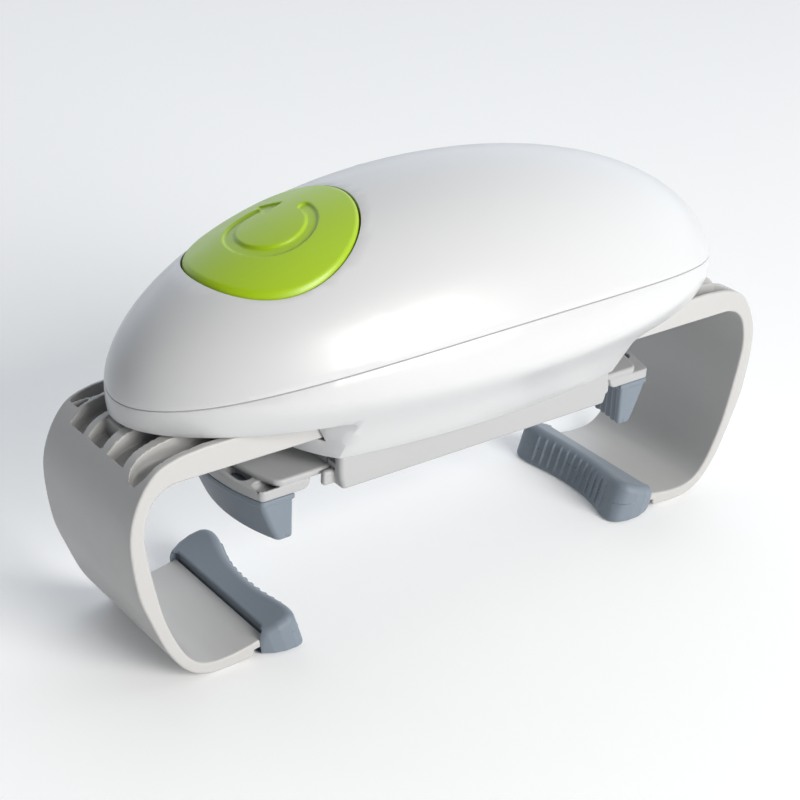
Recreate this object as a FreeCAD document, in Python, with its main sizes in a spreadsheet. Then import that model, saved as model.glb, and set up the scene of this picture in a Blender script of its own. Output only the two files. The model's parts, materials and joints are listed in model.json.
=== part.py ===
import FreeCAD, Part
import math
import os
import re

import Sketcher
from FreeCAD import Matrix, Placement, Rotation, Vector

# Battery-driven jar opener. An egg-shaped housing carries two C-shaped arms that grip the jar
# and, on a turntable below, two jaws that grip the lid.
# Frame: +X along the housing, +Z up, origin on the floor under the centre of the housing.

SIZES = {
    # housing: an egg (ellipsoid) above its shoulder, a tapered flank below it
    "egg_length": 86.9, "egg_width": 40.3, "egg_height": 41.1, "egg_level": 62.8, "wall": 2.2,
    "shoulder_level": 69.0, "shoulder_soft": 10.5, "flank_taper": 11.5,
    "skirt_bottom": 47.4, "bow_x": 15.0, "bow_radius": 34.7, "rim_level": 60.3,
    "seam_x": 3.0, "seam_top": 77.5, "seam_radius": 331.0, "seam_gap": 0.3,
    "window_width": 42.4, "window_bottom": 52.4,
    "boss_x": 68.0, "boss_y": 14.0, "boss_radius": 3.4, "boss_split": 70.0, "boss_tip": 86.0,
    # button and switch
    "button_x": -46.3, "button_radius": 19.7, "button_gap": 0.4, "button_proud": 0.5,
    "button_rim": 6.0, "button_skin": 1.6, "button_seat": 93.6, "stem_radius": 2.5, "stem_tip": 89.7,
    "board_level": 82.0, "board_thick": 1.2, "board_length": 24.0, "board_width": 18.0,
    "switch_side": 6.0, "switch_top": 87.0, "plunger_top": 88.0, "holder_top": 88.6,
    "holder_radius": 7.0, "holder_bore": 4.6, "spring_radius": 5.4, "spring_wire": 0.35,
    "post_radius": 2.0,
    # power pack
    "cell_radius": 7.25, "cell_length": 49.5, "cell_centre": 2.0, "cell_nub": 1.0, "nub_radius": 2.75,
    "cell_a_y": 11.0, "cell_a_level": 89.5, "cell_b_y": 23.0, "cell_b_level": 79.5,
    "door_tilt": 52.0, "door_length": 58.0, "door_height": 23.0, "door_corner": 4.0, "door_gap": 0.25,
    "tray_skin": 1.1, "tray_end": 1.5, "contact_thick": 0.4,
    # planetary set on the centre line
    "small_module": 0.8, "sun_teeth": 12, "planet_teeth": 12, "ring_teeth": 36,
    "cup_bottom": 62.5, "cup_web": 1.4, "cup_top": 70.6, "cup_radius": 17.2,
    "carrier_bottom": 64.2, "carrier_top": 65.6, "planet_bottom": 65.9, "planet_top": 69.9,
    "planet_pin": 1.4, "sun_top": 70.2, "sun_shaft": 3.0, "sun_shaft_top": 74.0,
    "spindle_radius": 2.5, "spindle_tip": 44.2, "running_gap": 0.05,
    # spur train from the motor
    "drive_teeth": 36, "step_teeth": 12, "wheel_two_teeth": 24, "wheel_one_teeth": 26,
    "motor_teeth": 10, "drive_bottom": 71.2, "drive_top": 74.2, "middle_bottom": 74.9,
    "middle_top": 77.6, "upper_bottom": 88.4, "upper_top": 91.0, "hub_radius": 4.0,
    "tube_radius": 3.2, "pin_radius": 1.5, "pin_collar": 2.6, "idler_one_x": 31.0,
    "idler_one_y": -9.5, "motor_x": 45.0, "motor_y": -6.13, "can_radius": 10.0, "can_flat": 15.4,
    "can_bottom": 62.6, "can_top": 86.8, "motor_shaft": 1.0, "motor_boss": 3.0,
    # gearbox plates
    "chassis_bottom": 60.3, "chassis_top": 62.2, "chassis_length": 78.0, "chassis_width": 55.0,
    "chassis_reach": 99.0, "chassis_strip": 22.0,
    "plate_bottom": 78.7, "plate_top": 80.2, "column_radius": 2.5,
    "stud_x": 34.0, "stud_y": 24.6, "stud_radius": 2.6, "bush_radius": 7.5,
    # arms
    "rack_module": 1.0, "pinion_teeth": 14, "pinion_pitch": 7.0, "arm_width": 41.0,
    "arm_plate_bottom": 53.0, "arm_plate_top": 59.8, "arm_rack_bottom": 53.2, "arm_rack_top": 58.8,
    "arm_rail_start": 28.5, "arm_web_start": 36.0, "arm_slot_end": 73.0, "arm_rack_end": -17.5,
    "lane_inner": 5.5, "lane_outer": 14.2, "rack_outer": 13.5, "pocket_floor": 54.8,
    "arm_end": 61.0, "tongue_end": 56.0, "tongue_width": 34.0, "hub_outer": 5.5, "neck_radius": 4.4,
    # jar pads
    "pad_back": 62.4, "pad_middle": 52.7, "pad_long_lobe": 48.6, "pad_short_lobe": 51.4,
    "pad_half": 23.0, "pad_height": 11.5, "pad_saddle": 10.5, "pad_slope": 20.0, "pad_lean": 18.0,
    "pad_groove_top": 6.8, "pad_groove_floor": 60.2, "pad_lip_back": 60.7,
    # lid carrier and jaws
    "carrier_low": 38.6, "carrier_high": 47.2, "carrier_length": 82.6, "carrier_width": 44.0,
    "channel_width": 35.2, "channel_top": 46.2, "groove_width": 38.8, "ledge_level": 43.0,
    "lip_reach": 44.0, "turntable_radius": 17.0, "turntable_top": 50.0, "keeper_radius": 20.2,
    "keeper_top": 51.5, "hub_bore": 5.05, "jaw_hub": 5.0, "jaw_hub_top": 51.0, "clip_top": 51.8,
    "jaw_plate_bottom": 41.5, "jaw_plate_top": 43.1, "jaw_half_width": 17.3, "jaw_inner": 36.8,
    "flange_inner": 46.2, "flange_bottom": 38.8, "flange_side": 59.3, "flange_middle": 62.6,
    "jaw_edge_side": 55.0, "jaw_edge_middle": 58.8, "jaw_rack_bottom": 43.2, "jaw_rack_top": 46.0,
    "jaw_rack_end": -5.0, "jaw_rack_root": 41.0, "jaw_rack_outer": 15.8, "shoe_inner": 16.2,
    "shoe_outer": 19.2, "shoe_top": 44.6, "lid_pad_bottom": 27.0, "lid_pad_side": 50.2,
    "lid_pad_middle": 52.2, "lid_pad_foot_side": 54.6, "lid_pad_foot_middle": 58.2,
    # bottom cover
    "cover_length": 73.6, "cover_width": 40.8, "cover_top": 49.8, "cover_flange_top": 51.4,
    "cover_flange_length": 77.0, "cover_flange_width": 43.0, "cover_flange_bore": 20.6,
    "rail_top": 52.8,
}

doc = FreeCAD.newDocument("JarOpener")
sheet = doc.addObject("Spreadsheet::Sheet", "Sizes")
for row, (alias, value) in enumerate(SIZES.items(), start=1):
    sheet.set(f"A{row}", alias)
    sheet.set(f"B{row}", str(value))
    sheet.setAlias(f"B{row}", alias)
doc.recompute()


def size(alias):
    return float(sheet.get(alias))


# ---------------------------------------------------------------- document helpers

def linked(text):
    """Expression text in which each size name points into the sheet."""
    return re.sub(r"[a-z_]+", lambda m: "Sizes." + m.group() if m.group() in SIZES else m.group(),
                  str(text))


def bind(thing, path, text):
    thing.setExpression(path, linked(text))


def value_of(text):
    return float(sheet.evalExpression(linked(text)))


def cylinder(name, radius, low, high, x="0", y="0"):
    """Upright Part cylinder between two levels."""
    thing = doc.addObject("Part::Cylinder", name)
    bind(thing, "Radius", radius)
    bind(thing, "Height", f"({high}) - ({low})")
    bind(thing, "Placement.Base.x", x)
    bind(thing, "Placement.Base.y", y)
    bind(thing, "Placement.Base.z", low)
    return thing


def block(name, length, width, low, high, x="0", y="0"):
    """Part box centred on a point in plan, between two levels."""
    thing = doc.addObject("Part::Box", name)
    bind(thing, "Length", length)
    bind(thing, "Width", width)
    bind(thing, "Height", f"({high}) - ({low})")
    bind(thing, "Placement.Base.x", f"({x}) - ({length}) / 2")
    bind(thing, "Placement.Base.y", f"({y}) - ({width}) / 2")
    bind(thing, "Placement.Base.z", low)
    return thing


def fuse(name, *things):
    joined = doc.addObject("Part::MultiFuse", name)
    joined.Shapes = list(things)
    return joined


def cut(name, base, *tools):
    """Part cut of one base by one or more tools."""
    tool = tools[0] if len(tools) == 1 else fuse(name + "_tools", *tools)
    result = doc.addObject("Part::Cut", name)
    result.Base = base
    result.Tool = tool
    return result


def group(name, things):
    """Identical pieces kept together as separate solids of one sub-part."""
    result = doc.addObject("Part::Compound", name)
    result.Links = list(things)
    return result


def feature(name, shape, placement=None):
    thing = doc.addObject("Part::Feature", name)
    thing.Shape = shape
    if placement:
        thing.Placement = placement
    return thing


class Solid:
    """A PartDesign body with sketches on levels of its XY plane."""

    def __init__(self, name):
        self.body = doc.addObject("PartDesign::Body", name)

    def sketch(self, level):
        made = self.body.newObject("Sketcher::SketchObject", "Outline")
        base = next(f for f in self.body.Origin.OriginFeatures if f.Role == "XY_Plane")
        made.AttachmentSupport = [(base, "")]
        made.MapMode = "FlatFace"
        bind(made, "AttachmentOffset.Base.z", level)
        return made

    def pad(self, sketch, length):
        made = self.body.newObject("PartDesign::Pad", "Pad")
        made.Profile = sketch
        bind(made, "Length", length)
        self.body.Tip = made
        return made

    def pocket(self, sketch, depth):
        """Cut downwards from the sketch's level."""
        before = self.volume()
        made = self.body.newObject("PartDesign::Pocket", "Pocket")
        made.Profile = sketch
        bind(made, "Length", depth)
        self.body.Tip = made
        if self.volume() >= before:
            raise RuntimeError(f"{self.body.Label}: a pocket cuts nothing")
        return made

    def polar(self, original, count):
        made = self.body.newObject("PartDesign::PolarPattern", "Around")
        made.Originals = [original]
        axis = next(f for f in self.body.Origin.OriginFeatures if f.Role == "Z_Axis")
        made.Axis = (axis, [""])
        made.Angle = 360
        made.Occurrences = count
        self.body.Tip = made
        return made

    def volume(self):
        doc.recompute()
        return self.body.Shape.Volume


def fix_point(sketch, index, corner, x, y):
    """Tie a sketch point to the origin by two sizes, whatever their sign."""
    for kind, text in (("DistanceX", x), ("DistanceY", y)):
        amount = value_of(text)
        if abs(amount) < 1e-9:
            line = -2 if kind == "DistanceX" else -1
            sketch.addConstraint(Sketcher.Constraint("PointOnObject", index, corner, line))
        elif amount > 0:
            row = sketch.addConstraint(Sketcher.Constraint(kind, -1, 1, index, corner, amount))
            bind(sketch, f"Constraints[{row}]", text)
        else:
            row = sketch.addConstraint(Sketcher.Constraint(kind, index, corner, -1, 1, -amount))
            bind(sketch, f"Constraints[{row}]", f"-({text})")


def ring_line(sketch, radius, x="0", y="0"):
    centre = Vector(value_of(x), value_of(y), 0)
    index = sketch.addGeometry(Part.Circle(centre, Vector(0, 0, 1), value_of(radius)))
    row = sketch.addConstraint(Sketcher.Constraint("Radius", index, value_of(radius)))
    bind(sketch, f"Constraints[{row}]", radius)
    fix_point(sketch, index, 3, x, y)


def frame_line(sketch, length, width, x="0", y="0"):
    """Rectangle centred on a point."""
    half_x, half_y = value_of(length) / 2, value_of(width) / 2
    mid_x, mid_y = value_of(x), value_of(y)
    corners = [Vector(mid_x + a * half_x, mid_y + b * half_y, 0)
               for a, b in ((-1, -1), (1, -1), (1, 1), (-1, 1))]
    first = sketch.GeometryCount
    for n in range(4):
        sketch.addGeometry(Part.LineSegment(corners[n], corners[(n + 1) % 4]))
    for n in range(4):
        sketch.addConstraint(Sketcher.Constraint("Coincident", first + n, 2, first + (n + 1) % 4, 1))
    for n, kind in enumerate(("Horizontal", "Vertical", "Horizontal", "Vertical")):
        sketch.addConstraint(Sketcher.Constraint(kind, first + n))
    for n, text in ((0, length), (1, width)):
        row = sketch.addConstraint(Sketcher.Constraint("Distance", first + n, value_of(text)))
        bind(sketch, f"Constraints[{row}]", text)
    fix_point(sketch, first, 1, f"({x}) - ({length}) / 2", f"({y}) - ({width}) / 2")


# ---------------------------------------------------------------- geometry helpers

def prism(points, low, high):
    """Straight-sided solid over a plan outline."""
    corners = [Vector(x, y, low) for x, y in points]
    return Part.Face(Part.makePolygon(corners + corners[:1])).extrude(Vector(0, 0, high - low))


def brick(x_low, x_high, y_low, y_high, low, high):
    return Part.makeBox(x_high - x_low, y_high - y_low, high - low, Vector(x_low, y_low, low))


def rod(radius, low, high, x=0, y=0):
    return Part.makeCylinder(radius, high - low, Vector(x, y, low))


def spline(points):
    curve = Part.BSplineCurve()
    curve.interpolate(points)
    return curve.toShape()


def half_turn(shape):
    """The same piece turned half round the centre line, for the other side."""
    turned = shape.copy()
    turned.rotate(Vector(0, 0, 0), Vector(0, 0, 1), 180)
    return turned


def egg(grow):
    """The housing's ellipsoid, grown or shrunk by a wall."""
    scale = Matrix()
    scale.scale(size("egg_length") + grow, size("egg_width") + grow, size("egg_height") + grow)
    shape = Part.makeSphere(1).transformGeometry(scale)
    shape.translate(Vector(0, 0, size("egg_level")))
    return shape


def flank(grow, bottom):
    """The housing below its shoulder: the egg's ellipses, made narrower down to the skirt."""
    top = size("shoulder_level")
    soft = size("shoulder_soft")
    depth = top - size("skirt_bottom")
    steps = 7
    wires = []
    for step in range(steps + 1):
        drop = (top - bottom) * step / steps
        offset = (top - drop - size("egg_level")) / (size("egg_height") + grow)
        girth = math.sqrt(1 - offset ** 2)
        taper = (1 + (soft / depth) ** 2) * drop ** 2 / (drop ** 2 + soft ** 2)
        length = (size("egg_length") + grow) * girth
        width = (size("egg_width") + grow) * girth - size("flank_taper") * taper
        oval = Part.Ellipse(Vector(0, 0, top - drop), length, width)
        wires.append(Part.Wire(oval.toShape()))
    return Part.makeLoft(wires, True, False)


def underside(inward, upward):
    """Space below the housing's rim and beyond its bowed skirt ends, both ends together."""
    far, deep, half_sweep = 115, 30, 60
    middle = Vector(size("bow_x"), 0, 0)
    level = size("rim_level") + upward
    foot = middle + Vector(size("bow_radius") - inward, 0, size("skirt_bottom"))
    knee = Vector(foot.x + 3.7, 0, level - 3.7)
    rim = Vector(foot.x + 9.0, 0, level)
    sweep = spline([knee, knee + Vector(1.0, 0, 2.0), rim - Vector(2.8, 0, 0.4), rim])
    start, end = Vector(foot.x, 0, deep), Vector(far, 0, level)
    low_end = Vector(far, 0, deep)
    lines = [Part.makeLine(start, foot), Part.makeLine(foot, knee), sweep, Part.makeLine(rim, end),
             Part.makeLine(end, low_end), Part.makeLine(low_end, start)]
    profile = Part.Face(Part.Wire(lines))
    profile.rotate(middle, Vector(0, 0, 1), -half_sweep)
    side = profile.revolve(middle, Vector(0, 0, 1), 2 * half_sweep)
    return side.fuse(half_turn(side))


def below_seam(gap=0.0):
    """Everything under the arched joint between cover and lower shell, or so far above it."""
    radius = size("seam_radius")
    centre = Vector(size("seam_x"), -100, size("seam_top") - radius)
    return Part.makeCylinder(radius + gap, 200, centre, Vector(0, 1, 0))


def housing():
    """Hollow housing before it is split at the seam."""
    level = size("shoulder_level")
    above = brick(-100, 100, -60, 60, level, level + 60)
    outer = egg(0).common(above).fuse(flank(0, size("skirt_bottom")))
    outer = outer.cut(underside(0, 0))
    thin = -size("wall")
    inner = egg(thin).common(above).fuse(flank(thin, size("cover_top")))
    inner = inner.cut(underside(-thin, -thin))
    return outer, outer.cut(inner)


def at_corners(x, y):
    return [(a * x, b * y) for a in (-1, 1) for b in (-1, 1)]


# ---------------------------------------------------------------- toothed parts

PRESSURE = math.radians(25)


def involute(angle):
    return math.tan(angle) - angle


def gear_wire(module, teeth, addendum, dedendum, thinning, turn=0.0):
    """Closed involute outline about the origin; thinning narrows each tooth."""
    pitch = module * teeth / 2
    base = pitch * math.cos(PRESSURE)
    tip, root = pitch + addendum, pitch - dedendum
    half_tooth = math.pi / 2 / teeth - thinning / 2 / pitch

    def lean(radius):
        """Half the tooth's angle at a radius."""
        if radius <= base:
            return half_tooth + involute(PRESSURE)
        return half_tooth + involute(PRESSURE) - involute(math.acos(base / radius))

    def spot(radius, angle):
        return Vector(radius * math.cos(angle), radius * math.sin(angle), 0)

    start = max(base, root)
    radii = [start + (tip - start) * n / 4 for n in range(5)]
    edges = []
    for tooth in range(teeth):
        mid = turn + 2 * math.pi * tooth / teeth
        after = mid + math.pi / teeth
        ahead = mid + 2 * math.pi / teeth
        if root < base:
            edges.append(Part.makeLine(spot(root, mid - lean(root)), spot(base, mid - lean(base))))
        edges.append(spline([spot(r, mid - lean(r)) for r in radii]))
        edges.append(Part.Arc(spot(tip, mid - lean(tip)), spot(tip, mid),
                              spot(tip, mid + lean(tip))).toShape())
        edges.append(spline([spot(r, mid + lean(r)) for r in reversed(radii)]))
        if root < base:
            edges.append(Part.makeLine(spot(base, mid + lean(base)), spot(root, mid + lean(root))))
        edges.append(Part.Arc(spot(root, mid + lean(root)), spot(root, after),
                              spot(root, ahead - lean(root))).toShape())
    return Part.Wire(edges)


THINNING = 0.14


def gear(module, teeth, low, high, x=0.0, y=0.0, turn=0.0):
    """External spur gear."""
    wire = gear_wire(module, teeth, module, 1.25 * module, THINNING, turn)
    wire.translate(Vector(x, y, low))
    return Part.Face(wire).extrude(Vector(0, 0, high - low))


def gear_hole(module, teeth, low, high, turn=0.0):
    """Tooth spaces of an internal gear."""
    wire = gear_wire(module, teeth, 1.25 * module, 0.8 * module, -THINNING, turn)
    wire.translate(Vector(0, 0, low))
    return Part.Face(wire).extrude(Vector(0, 0, high - low))


def rack(x_low, x_high, y_back, low, high):
    """Rack on the +Y side of a pinion at the centre, a tooth at X = 0."""
    module = size("rack_module")
    pitch_line = size("pinion_pitch")
    step = math.pi * module
    lean = math.tan(PRESSURE)
    half = step / 4 - THINNING / 2
    tip_y, root_y = pitch_line - module, pitch_line + 1.25 * module
    bar = brick(x_low, x_high, root_y, y_back, low, high)
    first, last = math.ceil((x_low + 1.4) / step), math.floor((x_high - 1.4) / step)
    for n in range(first, last + 1):
        tooth = prism([(n * step - half - 1.35 * module * lean, root_y + 0.1 * module),
                       (n * step - half + module * lean, tip_y),
                       (n * step + half - module * lean, tip_y),
                       (n * step + half + 1.35 * module * lean, root_y + 0.1 * module)], low, high)
        bar = bar.fuse(tooth)
    return bar.removeSplitter()


def meshed(teeth_a, teeth_b, turn_a, heading):
    """Turn of gear b so that its teeth fit gear a's, seen from a towards heading."""
    return heading + math.pi - teeth_a / teeth_b * (turn_a - heading) - math.pi / teeth_b


# ---------------------------------------------------------------- housing

outer_egg, shell = housing()
seam_side = below_seam()

# top cover, with the button's hole, the opening of the battery door and four screw bosses;
# the outer half of its rim stands clear of the lower shell, which leaves a thin dark line
cover = shell.cut(seam_side)
cover = cover.cut(below_seam(size("seam_gap")).cut(egg(-size("wall") / 2)))
button_hole = rod(size("button_radius") + size("button_gap"), 70, 110, size("button_x"))
cover = cover.cut(button_hole)


def door_prism(gap):
    """Rounded block along the door's direction, out of the rear flank."""
    length = size("door_length") - 2 * gap
    height = size("door_height") - 2 * gap
    shape = Part.makeBox(length, height, 40, Vector(-length / 2, -height / 2, 20))
    uprights = [e for e in shape.Edges if abs(e.tangentAt(e.FirstParameter).z) > 0.99]
    shape = shape.makeFillet(size("door_corner"), uprights)
    shape.rotate(Vector(0, 0, 0), Vector(1, 0, 0), -size("door_tilt"))
    shape.translate(Vector(size("cell_centre"), 0, size("egg_level")))
    return shape


cover = cover.cut(door_prism(0))
inside = egg(-size("wall") / 2)
screw_spots = at_corners(size("boss_x"), size("boss_y"))
for x, y in screw_spots:
    post = rod(size("boss_radius"), size("boss_split"), size("boss_tip"), x, y).common(inside)
    cover = cover.fuse(post).cut(rod(1.4, size("boss_split"), 80, x, y))
top_cover = feature("top_cover", cover)

# battery door with a finger ridge, in the rear flank
door_skin = egg(0).cut(egg(-size("wall"))).common(door_prism(size("door_gap")))
door_skin = door_skin.cut(seam_side)
ridge = egg(0.8).cut(egg(-0.2))
tilt = math.radians(size("door_tilt"))
for step in range(3):
    bar = brick(-8, 8, -0.6, 0.6, 30, 50)
    bar.translate(Vector(0, -3.2 + 2.4 * step, 0))
    bar.rotate(Vector(0, 0, 0), Vector(1, 0, 0), -size("door_tilt") + 11)
    bar.translate(Vector(size("cell_centre"), 0, size("egg_level")))
    door_skin = door_skin.fuse(ridge.common(bar))
battery_door = feature("battery_door", door_skin)

# lower shell: arm windows in the skirt's ends, opening for the bottom cover, bosses
lower = shell.common(seam_side)
half_window = size("window_width") / 2
lower = lower.cut(brick(-70, 70, -half_window, half_window, size("window_bottom"), size("rim_level")))
lower = lower.cut(brick(-37, 37, -20.5, 20.5, size("skirt_bottom"), size("cover_top")))
for x, y in screw_spots:
    lower = lower.fuse(rod(size("boss_radius"), size("rim_level"), size("boss_split"), x, y))
    lower = lower.cut(rod(1.6, size("rim_level"), size("boss_split"), x, y))
    lower = lower.cut(rod(2.9, size("rim_level") - 1, size("rim_level") + 2.5, x, y))
stud_spots = at_corners(size("stud_x"), size("stud_y"))
for x, y in stud_spots:
    stud = rod(size("stud_radius"), 49, size("chassis_bottom"), x, y)
    stud = stud.common(flank(-0.5, size("skirt_bottom")))
    lower = lower.fuse(stud).cut(rod(1.1, 53, size("chassis_bottom"), x, y))
lower_shell = feature("lower_shell", lower)

housing_screws = group("housing_screws", [
    fuse(f"housing_screw_{n}", cylinder(f"housing_shank_{n}", 1.4, "rim_level + 2", 79, x, y),
         cylinder(f"housing_head_{n}", 2.7, "rim_level + 0.6", "rim_level + 2.5", x, y))
    for n, (x, y) in enumerate(screw_spots)])

# ---------------------------------------------------------------- bottom cover and turntable

bottom = Solid("bottom_cover")
outline = bottom.sketch("skirt_bottom")
frame_line(outline, "cover_length", "cover_width")
ring_line(outline, "turntable_radius + running_gap")
bottom.pad(outline, "cover_top - skirt_bottom")
outline = bottom.sketch("cover_top")
frame_line(outline, "cover_flange_length", "cover_flange_width")
ring_line(outline, "cover_flange_bore")
bottom.pad(outline, "cover_flange_top - cover_top")
for side in (-1, 1):
    for front in (-1, 1):
        outline = bottom.sketch("cover_flange_top")
        frame_line(outline, 10, 3, 32 * side, 17.5 * front)
        bottom.pad(outline, "rail_top - cover_flange_top")
bottom_cover = bottom.body

# lid carrier: a channel in which the jaws slide, under a round turntable boss
channel = Solid("lid_carrier")
outline = channel.sketch("carrier_low")
frame_line(outline, "carrier_length", "carrier_width")
block_pad = channel.pad(outline, "carrier_high - carrier_low")
outline = channel.sketch("channel_top")
frame_line(outline, "carrier_length + 2", "channel_width")
channel.pocket(outline, "channel_top - carrier_low")
outline = channel.sketch("channel_top")
frame_line(outline, "carrier_length + 2", "groove_width")
channel.pocket(outline, "channel_top - ledge_level")
outline = channel.sketch("carrier_high")
ring_line(outline, "turntable_radius")
channel.pad(outline, "turntable_top - carrier_high")
outline = channel.sketch("turntable_top")
ring_line(outline, "hub_bore")
channel.pocket(outline, "turntable_top - channel_top")
for side in (-1, 1):
    for front in (-1, 1):
        outline = channel.sketch("carrier_low + 0.6")
        frame_line(outline, "lip_reach - carrier_length / 2 + 4", "(groove_width - channel_width) / 2",
                   f"{side} * (lip_reach / 2 + carrier_length / 4 - 2)",
                   f"{front} * (groove_width + channel_width) / 4")
        channel.pad(outline, "ledge_level - carrier_low - 0.6")
outline = channel.sketch("turntable_top")
ring_line(outline, 1.0, 13.5)
hole = channel.pocket(outline, 2.6)
channel.polar(hole, 3)
lid_carrier = channel.body

keeper = Solid("turntable_keeper")
outline = keeper.sketch("turntable_top")
ring_line(outline, "keeper_radius")
ring_line(outline, 9.5)
keeper.pad(outline, "keeper_top - turntable_top")
outline = keeper.sketch("keeper_top")
ring_line(outline, 1.2, 13.5)
hole = keeper.pocket(outline, "keeper_top - turntable_top")
keeper.polar(hole, 3)
turntable_keeper = keeper.body

keeper_screws = group("keeper_screws", [
    fuse(f"keeper_screw_{n}", cylinder(f"keeper_shank_{n}", 1.0, "turntable_top - 2.4", "keeper_top",
                                       13.5 * math.cos(angle), 13.5 * math.sin(angle)),
         cylinder(f"keeper_head_{n}", 1.9, "keeper_top", "keeper_top + 0.7",
                  13.5 * math.cos(angle), 13.5 * math.sin(angle)))
    for n, angle in enumerate(math.radians(120 * k) for k in range(3))])

# ---------------------------------------------------------------- jaws


def bowed(x_side, x_middle, half):
    """Arc edge across the jaw, furthest out in the middle."""
    return Part.Arc(Vector(x_side, -half, 0), Vector(x_middle, 0, 0), Vector(x_side, half, 0)).toShape()


def bowed_face(x_inner, x_side, x_middle, half, level):
    """Plan face: straight inner edge, straight sides, bowed outer edge."""
    a, b = Vector(x_inner, -half, 0), Vector(x_inner, half, 0)
    edge = bowed(x_side, x_middle, half)
    wire = Part.Wire([Part.makeLine(a, Vector(x_side, -half, 0)), edge,
                      Part.makeLine(Vector(x_side, half, 0), b), Part.makeLine(b, a)])
    face = Part.Face(wire)
    face.translate(Vector(0, 0, level))
    return face


half = size("jaw_half_width")
jaw = bowed_face(size("jaw_inner"), size("jaw_edge_side"), size("jaw_edge_middle"), half,
                 size("jaw_plate_bottom"))
jaw = jaw.extrude(Vector(0, 0, size("jaw_plate_top") - size("jaw_plate_bottom")))
flange = bowed_face(size("flange_inner"), size("flange_side"), size("flange_middle"), half,
                    size("flange_bottom"))
flange = flange.extrude(Vector(0, 0, size("jaw_plate_bottom") - size("flange_bottom")))
under_edge = [e for e in flange.Edges if e.BoundBox.XMax < size("flange_inner") + 0.1
              and e.BoundBox.ZMax < size("flange_bottom") + 0.1]
flange = flange.makeFillet(2.2, under_edge)
for y_low, y_high, x_low, x_high, floor in ((12.2, 16.4, 53.8, 59.6, 1.2), (2, 10, 56.6, 60.6, -1)):
    for front in (-1, 1):
        low_y, high_y = sorted((front * y_low, front * y_high))
        scoop = brick(x_low, x_high, low_y, high_y, size("flange_bottom") + floor, 42)
        uprights = [e for e in scoop.Edges if abs(e.tangentAt(e.FirstParameter).z) > 0.99]
        flange = flange.cut(scoop.makeFillet(1.8, uprights))
jaw = jaw.fuse(flange)
jaw = jaw.fuse(rack(size("jaw_rack_end"), size("jaw_rack_root"), size("jaw_rack_outer"),
                    size("jaw_rack_bottom"), size("jaw_rack_top")))
jaw = jaw.fuse(brick(size("jaw_inner"), size("jaw_rack_root"), size("pinion_pitch") + 1.25,
                     size("jaw_rack_outer"), size("jaw_plate_top"), size("jaw_rack_bottom") + 0.1))
for front in (-1, 1):
    low_y, high_y = sorted((front * size("shoe_inner"), front * size("shoe_outer")))
    jaw = jaw.fuse(brick(size("jaw_inner") + 0.2, size("jaw_rack_root"), low_y, high_y,
                         size("jaw_plate_top"), size("shoe_top")))
jaw = jaw.removeSplitter()
right_jaw = feature("right_jaw", jaw)
left_jaw = feature("left_jaw", half_turn(jaw))


def lid_pad_outline(side, middle, outer_side, outer_middle, level):
    """Plan outline of a lid pad at one level: both faces bow outwards."""
    half_pad = size("jaw_half_width")
    inner = bowed(side, middle, half_pad)
    outer = bowed(outer_side, outer_middle, half_pad)
    wire = Part.Wire([inner, Part.makeLine(Vector(side, half_pad, 0), Vector(outer_side, half_pad, 0)),
                      outer, Part.makeLine(Vector(outer_side, -half_pad, 0), Vector(side, -half_pad, 0))])
    wire.translate(Vector(0, 0, level))
    return wire


lid_pad = Part.makeLoft([
    lid_pad_outline(size("lid_pad_side"), size("lid_pad_middle"), size("flange_side"),
                    size("flange_middle"), size("flange_bottom")),
    lid_pad_outline(size("lid_pad_side"), size("lid_pad_middle"), size("lid_pad_foot_side"),
                    size("lid_pad_foot_middle"), size("lid_pad_bottom"))], True, True)
right_jaw_pad = feature("right_jaw_pad", lid_pad)
left_jaw_pad = feature("left_jaw_pad", half_turn(lid_pad))

# ---------------------------------------------------------------- arms


def arm_contour():
    """Side outline of the arm beyond the housing: plate, bend, outer wall and foot."""
    outer = spline([Vector(x, 0, z) for x, z in (
        (77, 59.8), (83.6, 58.8), (89, 56.2), (93.2, 50), (94.9, 41), (93.2, 28), (90.2, 19),
        (86, 9.5), (81, 3), (75.6, 0.3), (70, 0))])
    inner = spline([Vector(x, 0, z) for x, z in (
        (70, 3.2), (75.5, 3.3), (79, 5.0), (82.6, 9.5), (86.5, 18.5), (89, 28.2), (90.9, 38),
        (91.1, 43), (89.9, 48.2), (87.4, 51.4), (84, 52.8), (80, 53))])
    start = size("arm_web_start")
    corners = [Vector(start, 0, size("arm_plate_top")), Vector(77, 0, 59.8), Vector(70, 0, 0),
               Vector(size("arm_end"), 0, 1.0), Vector(size("arm_end"), 0, 4.6), Vector(70, 0, 3.2),
               Vector(80, 0, 53), Vector(start, 0, size("arm_plate_bottom"))]
    return Part.Wire([
        Part.makeLine(corners[0], corners[1]), outer, Part.makeLine(corners[2], corners[3]),
        Part.makeLine(corners[3], corners[4]), Part.makeLine(corners[4], corners[5]), inner,
        Part.makeLine(corners[6], corners[7]), Part.makeLine(corners[7], corners[0])])


half = size("arm_width") / 2
arm = Part.Face(arm_contour()).extrude(Vector(0, 2 * half, 0))
arm.translate(Vector(0, -half, 0))
plate_low, plate_high = size("arm_plate_bottom"), size("arm_plate_top")
for front in (-1, 1):
    low_y, high_y = sorted((front * size("lane_outer"), front * half))
    arm = arm.fuse(brick(size("arm_rail_start"), size("arm_web_start"), low_y, high_y,
                         plate_low, plate_high))
arm = arm.fuse(rack(size("arm_rack_end"), size("arm_web_start"), size("rack_outer"),
                    size("arm_rack_bottom"), size("arm_rack_top")))
arm = arm.fuse(brick(size("arm_rail_start"), size("arm_web_start"), size("rack_outer") - 0.2,
                     size("lane_outer") + 0.2, size("arm_rack_bottom"), size("arm_rack_top")))
arm = arm.cut(brick(0, size("arm_slot_end"), -size("lane_outer"), -size("lane_inner"),
                    plate_low - 1, plate_high + 1))


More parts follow.
